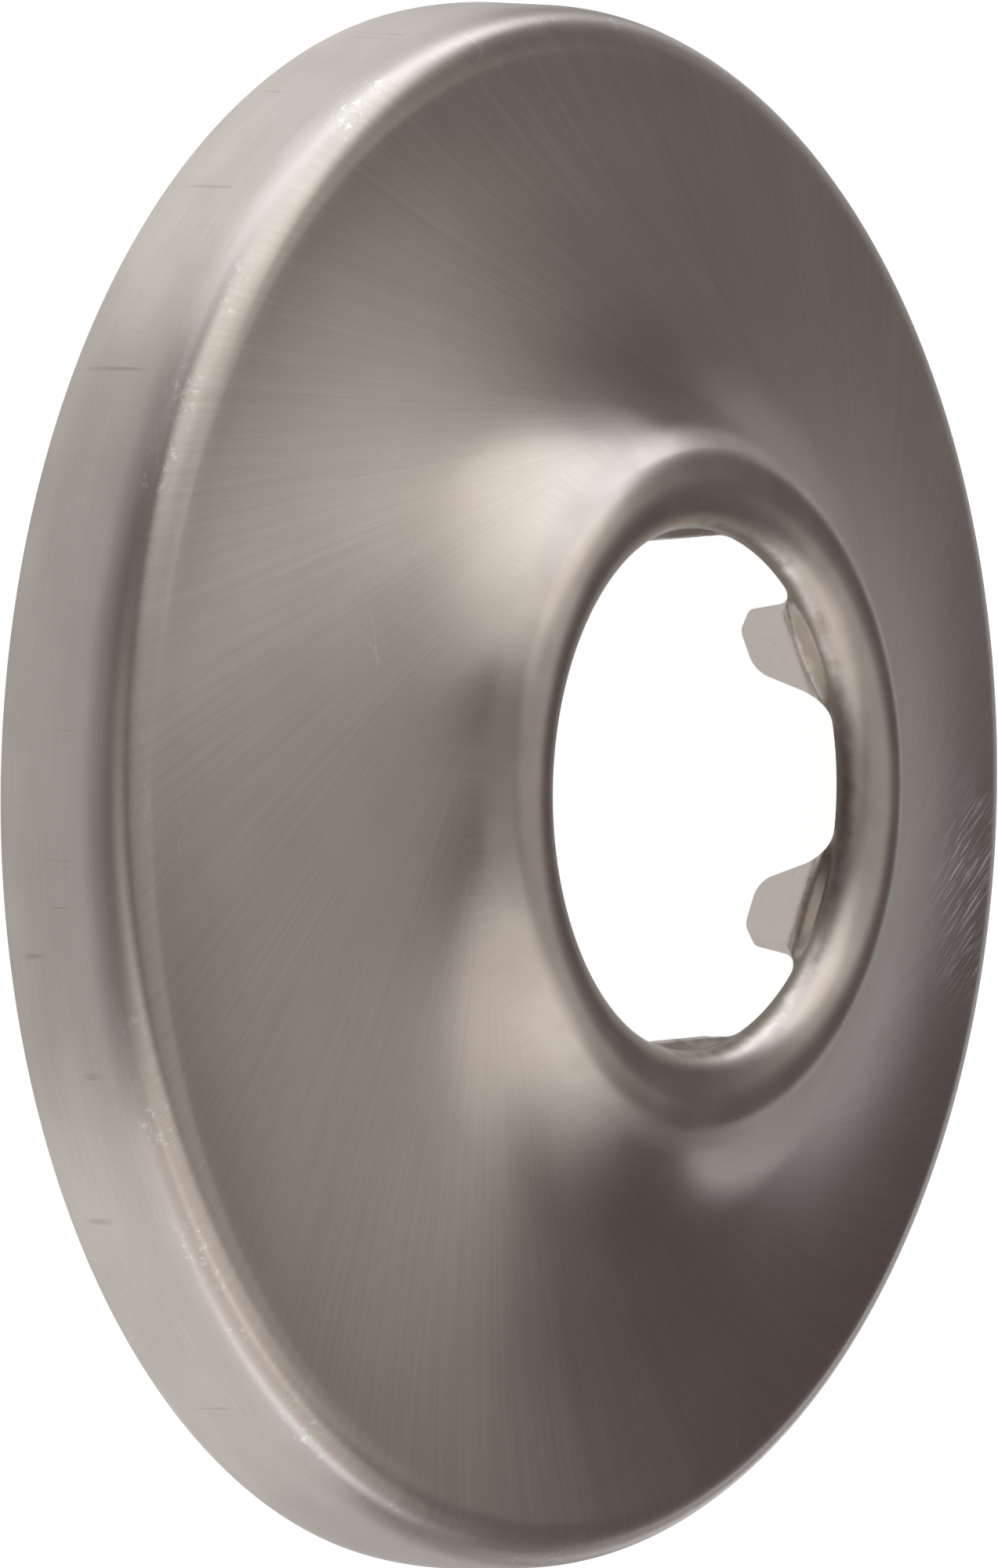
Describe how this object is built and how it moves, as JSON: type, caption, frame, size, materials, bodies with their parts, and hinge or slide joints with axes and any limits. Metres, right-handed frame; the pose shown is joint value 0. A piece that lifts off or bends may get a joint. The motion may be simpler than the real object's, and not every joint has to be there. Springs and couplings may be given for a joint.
{
  "type": "shower arm flange",
  "caption": "Round pressed sheet-metal bell with a rolled lip and a throat of sprung fingers that covers the wall hole around a shower arm.",
  "frame": {"origin": "centre of the back rim, in the plane that meets the wall", "axes": "+Z along the shower arm's axis, away from the wall, towards the rolled lip; one finger is centred on +X"},
  "size_m": [0.0666, 0.0666, 0.0137],
  "materials": {
    "satin_nickel": "satin brushed nickel plate"
  },
  "bodies": {
    "root": {"flange_shell": "satin_nickel"}
  },
  "joints": []
}
